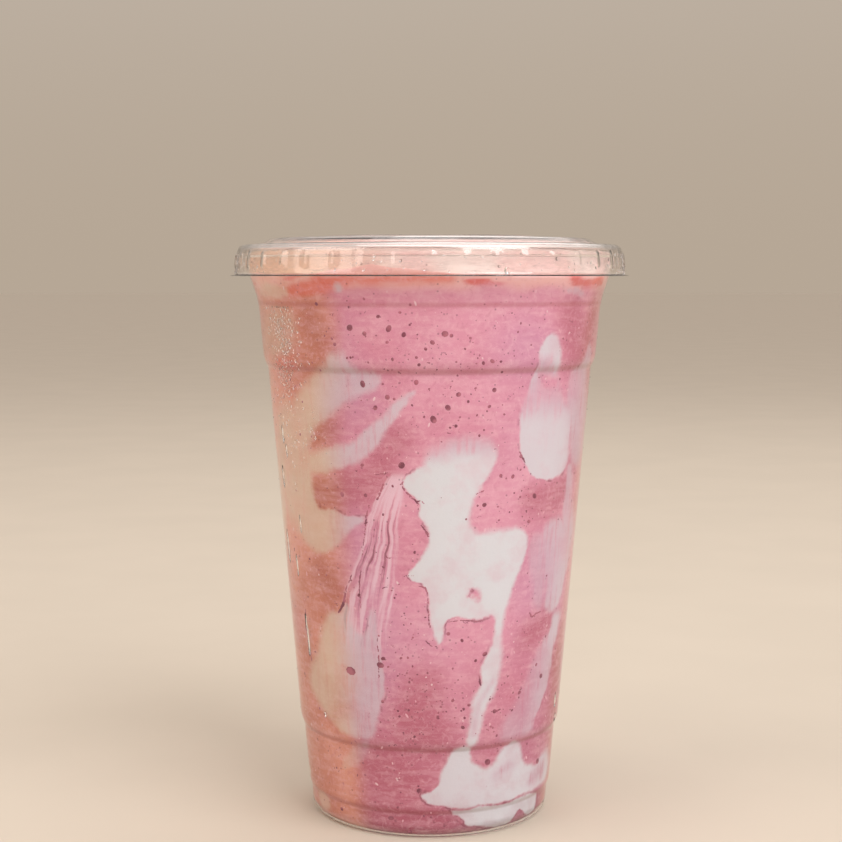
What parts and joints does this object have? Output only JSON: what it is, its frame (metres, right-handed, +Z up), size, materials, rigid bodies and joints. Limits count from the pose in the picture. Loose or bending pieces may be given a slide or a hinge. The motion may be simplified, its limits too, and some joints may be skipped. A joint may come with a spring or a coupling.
{
  "type": "strawberry smoothie",
  "caption": "Pink strawberry smoothie streaked with cream in a tall clear takeaway cup with stepped walls and a flat clear press-on lid.",
  "frame": {"origin": "centre of the cup's foot, on the surface it stands on", "axes": "+Z up along the cup's axis; +Y away from a viewer in front, +X to their right"},
  "size_m": [0.102, 0.102, 0.1488],
  "materials": {
    "cup_plastic": "clear",
    "lid_plastic": "clear",
    "smoothie": "creamy, streaked with cream"
  },
  "bodies": {
    "root": {"cup": "cup_plastic", "lid": "lid_plastic", "smoothie": "smoothie"}
  },
  "joints": []
}
